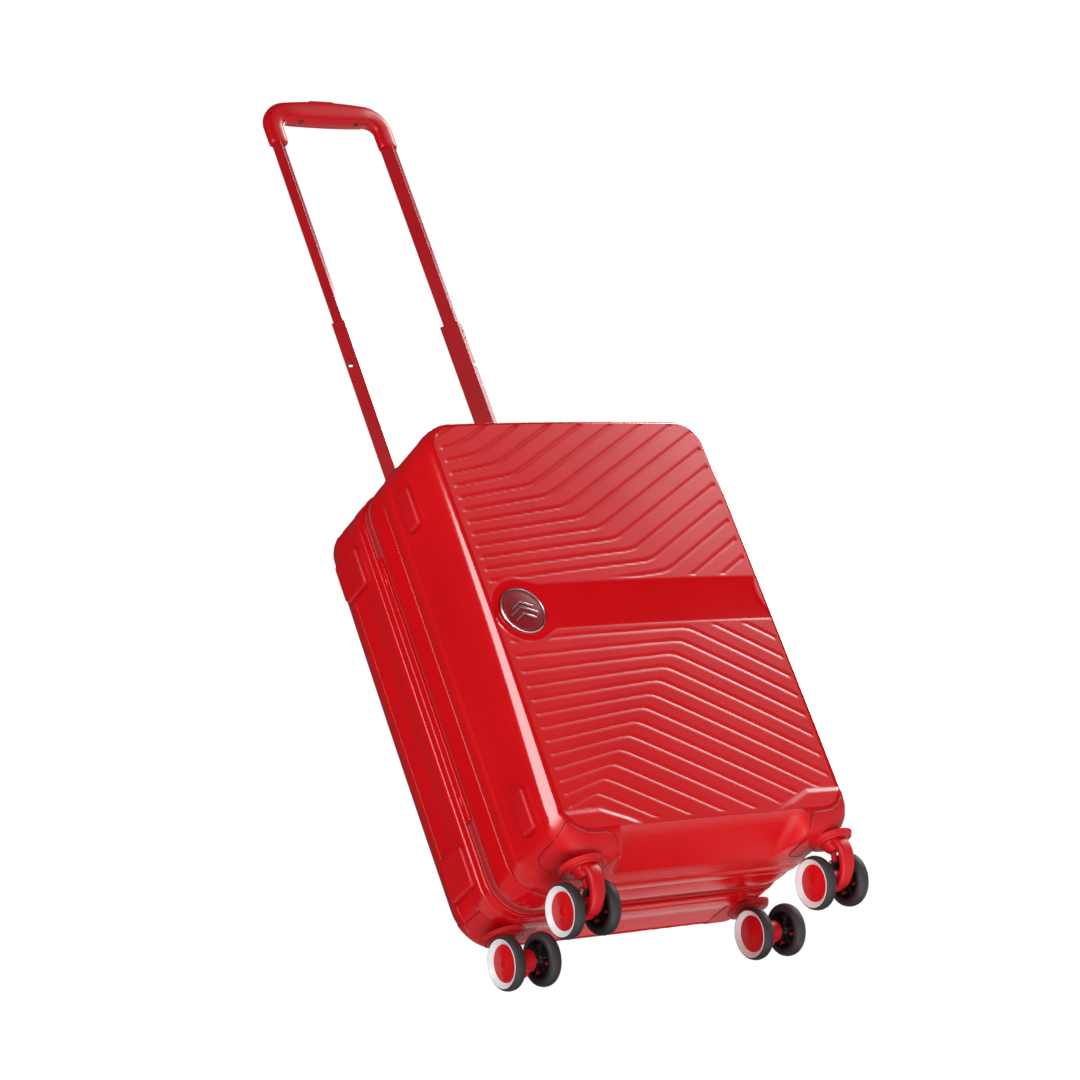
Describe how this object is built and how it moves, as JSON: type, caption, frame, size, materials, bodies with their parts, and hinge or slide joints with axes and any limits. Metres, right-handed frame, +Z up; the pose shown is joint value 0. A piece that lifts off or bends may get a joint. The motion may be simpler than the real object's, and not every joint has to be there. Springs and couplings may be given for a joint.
{
  "type": "hard shell suitcase on wheels",
  "caption": "Hard shell cabin suitcase with hinged halves, double spinner wheels, a drawn-out telescopic trolley handle, carry handles and a zip band",
  "frame": {"origin": "centre of the bounding box on the floor, trolley drawn out", "axes": "+Z up, -Y is the grooved front, +X is the right-hand side seen from the front"},
  "size_m": [0.374, 0.2348, 1.1055],
  "materials": {
    "shell_red": "satin",
    "trim_red": "matte",
    "zip_fabric": "woven",
    "tube_red": "painted",
    "tyre_rubber": "matte",
    "hub_black": "matte",
    "cap_silver": "metal coated",
    "bare_steel": "bright",
    "grip_red": "satin",
    "badge_red": "gloss",
    "dial_dark": "satin"
  },
  "bodies": {
    "back_half": {"back_shell": "shell_red", "back_rim": "shell_red", "zip_tape": "zip_fabric", "hinge_strip": "trim_red", "rear_housings": "trim_red", "back_feet": "trim_red", "outer_tubes": "tube_red", "base_bracket": "trim_red", "tube_bezel": "trim_red", "lock_body": "trim_red", "lock_dials": "dial_dark"},
    "front_half": {"front_shell": "shell_red", "front_band": "shell_red", "badge": "badge_red", "front_housings": "trim_red", "front_feet": "trim_red", "hinge_knuckles": "trim_red"},
    "middle_stage": {"middle_tubes": "tube_red"},
    "upper_stage": {"upper_tubes": "tube_red", "grip": "grip_red", "grip_screws": "bare_steel"},
    "release_button": {"grip_button": "grip_red"},
    "carry_top": {"top_handle": "grip_red"},
    "carry_side": {"side_handle": "grip_red"},
    "zip_upper": {"zip_slider_upper": "bare_steel"},
    "zip_lower": {"zip_slider_lower": "bare_steel"},
    "caster_front_left": {"fork_front_left": "trim_red", "axle_front_left": "bare_steel"},
    "wheel_front_left_a": {"tyre_front_left_a": "tyre_rubber", "hub_front_left_a": "hub_black", "cap_front_left_a": "cap_silver"},
    "wheel_front_left_b": {"tyre_front_left_b": "tyre_rubber", "hub_front_left_b": "hub_black", "cap_front_left_b": "cap_silver"},
    "caster_front_right": {"fork_front_right": "trim_red", "axle_front_right": "bare_steel"},
    "wheel_front_right_a": {"tyre_front_right_a": "tyre_rubber", "hub_front_right_a": "hub_black", "cap_front_right_a": "cap_silver"},
    "wheel_front_right_b": {"tyre_front_right_b": "tyre_rubber", "hub_front_right_b": "hub_black", "cap_front_right_b": "cap_silver"},
    "caster_rear_left": {"fork_rear_left": "trim_red", "axle_rear_left": "bare_steel"},
    "wheel_rear_left_a": {"tyre_rear_left_a": "tyre_rubber", "hub_rear_left_a": "hub_black", "cap_rear_left_a": "cap_silver"},
    "wheel_rear_left_b": {"tyre_rear_left_b": "tyre_rubber", "hub_rear_left_b": "hub_black", "cap_rear_left_b": "cap_silver"},
    "caster_rear_right": {"fork_rear_right": "trim_red", "axle_rear_right": "bare_steel"},
    "wheel_rear_right_a": {"tyre_rear_right_a": "tyre_rubber", "hub_rear_right_a": "hub_black", "cap_rear_right_a": "cap_silver"},
    "wheel_rear_right_b": {"tyre_rear_right_b": "tyre_rubber", "hub_rear_right_b": "hub_black", "cap_rear_right_b": "cap_silver"}
  },
  "joints": [
    {"name": "front_hinge", "type": "hinge", "parent": "back_half", "child": "front_half", "pos_m": [-0.18115, 0.02, 0.306], "axis": [0, 0, -1], "range_deg": [0, 150]},
    {"name": "middle_slide", "type": "slide", "parent": "back_half", "child": "middle_stage", "axis": [0, 0, 1], "range_m": [-0.253, 0]},
    {"name": "upper_slide", "type": "slide", "parent": "middle_stage", "child": "upper_stage", "axis": [0, 0, 1], "range_m": [-0.241, 0]},
    {"name": "button_press", "type": "slide", "parent": "upper_stage", "child": "release_button", "axis": [0, 0, 1], "range_m": [-0.003, 0], "stiffness_N_per_m": 400, "springref_m": 0.001},
    {"name": "top_handle_lift", "type": "slide", "parent": "back_half", "child": "carry_top", "axis": [0, 0, 1], "range_m": [0, 0.016], "stiffness_N_per_m": 150, "springref_m": -0.004},
    {"name": "side_handle_pull", "type": "slide", "parent": "back_half", "child": "carry_side", "axis": [1, 0, 0], "range_m": [0, 0.016], "stiffness_N_per_m": 150, "springref_m": -0.004},
    {"name": "zip_upper_slide", "type": "slide", "parent": "back_half", "child": "zip_upper", "axis": [0, 0, 1], "range_m": [0, 0.04]},
    {"name": "zip_lower_slide", "type": "slide", "parent": "back_half", "child": "zip_lower", "axis": [0, 0, 1], "range_m": [-0.25, 0]},
    {"name": "swivel_front_left", "type": "hinge", "parent": "front_half", "child": "caster_front_left", "pos_m": [-0.1525, -0.091, 0.07], "axis": [0, 0, 1], "continuous": true},
    {"name": "spin_front_left_a", "type": "hinge", "parent": "caster_front_left", "child": "wheel_front_left_a", "pos_m": [-0.17315, -0.071, 0.0272], "axis": [1, 0, 0], "continuous": true},
    {"name": "spin_front_left_b", "type": "hinge", "parent": "caster_front_left", "child": "wheel_front_left_b", "pos_m": [-0.13185, -0.071, 0.0272], "axis": [1, 0, 0], "continuous": true},
    {"name": "swivel_front_right", "type": "hinge", "parent": "front_half", "child": "caster_front_right", "pos_m": [0.1525, -0.091, 0.07], "axis": [0, 0, 1], "continuous": true},
    {"name": "spin_front_right_a", "type": "hinge", "parent": "caster_front_right", "child": "wheel_front_right_a", "pos_m": [0.13185, -0.071, 0.0272], "axis": [1, 0, 0], "continuous": true},
    {"name": "spin_front_right_b", "type": "hinge", "parent": "caster_front_right", "child": "wheel_front_right_b", "pos_m": [0.17315, -0.071, 0.0272], "axis": [1, 0, 0], "continuous": true},
    {"name": "swivel_rear_left", "type": "hinge", "parent": "back_half", "child": "caster_rear_left", "pos_m": [-0.1525, 0.066, 0.07], "axis": [0, 0, 1], "continuous": true},
    {"name": "spin_rear_left_a", "type": "hinge", "parent": "caster_rear_left", "child": "wheel_rear_left_a", "pos_m": [-0.17315, 0.046, 0.0272], "axis": [1, 0, 0], "continuous": true},
    {"name": "spin_rear_left_b", "type": "hinge", "parent": "caster_rear_left", "child": "wheel_rear_left_b", "pos_m": [-0.13185, 0.046, 0.0272], "axis": [1, 0, 0], "continuous": true},
    {"name": "swivel_rear_right", "type": "hinge", "parent": "back_half", "child": "caster_rear_right", "pos_m": [0.1525, 0.066, 0.07], "axis": [0, 0, 1], "continuous": true},
    {"name": "spin_rear_right_a", "type": "hinge", "parent": "caster_rear_right", "child": "wheel_rear_right_a", "pos_m": [0.13185, 0.046, 0.0272], "axis": [1, 0, 0], "continuous": true},
    {"name": "spin_rear_right_b", "type": "hinge", "parent": "caster_rear_right", "child": "wheel_rear_right_b", "pos_m": [0.17315, 0.046, 0.0272], "axis": [1, 0, 0], "continuous": true}
  ]
}
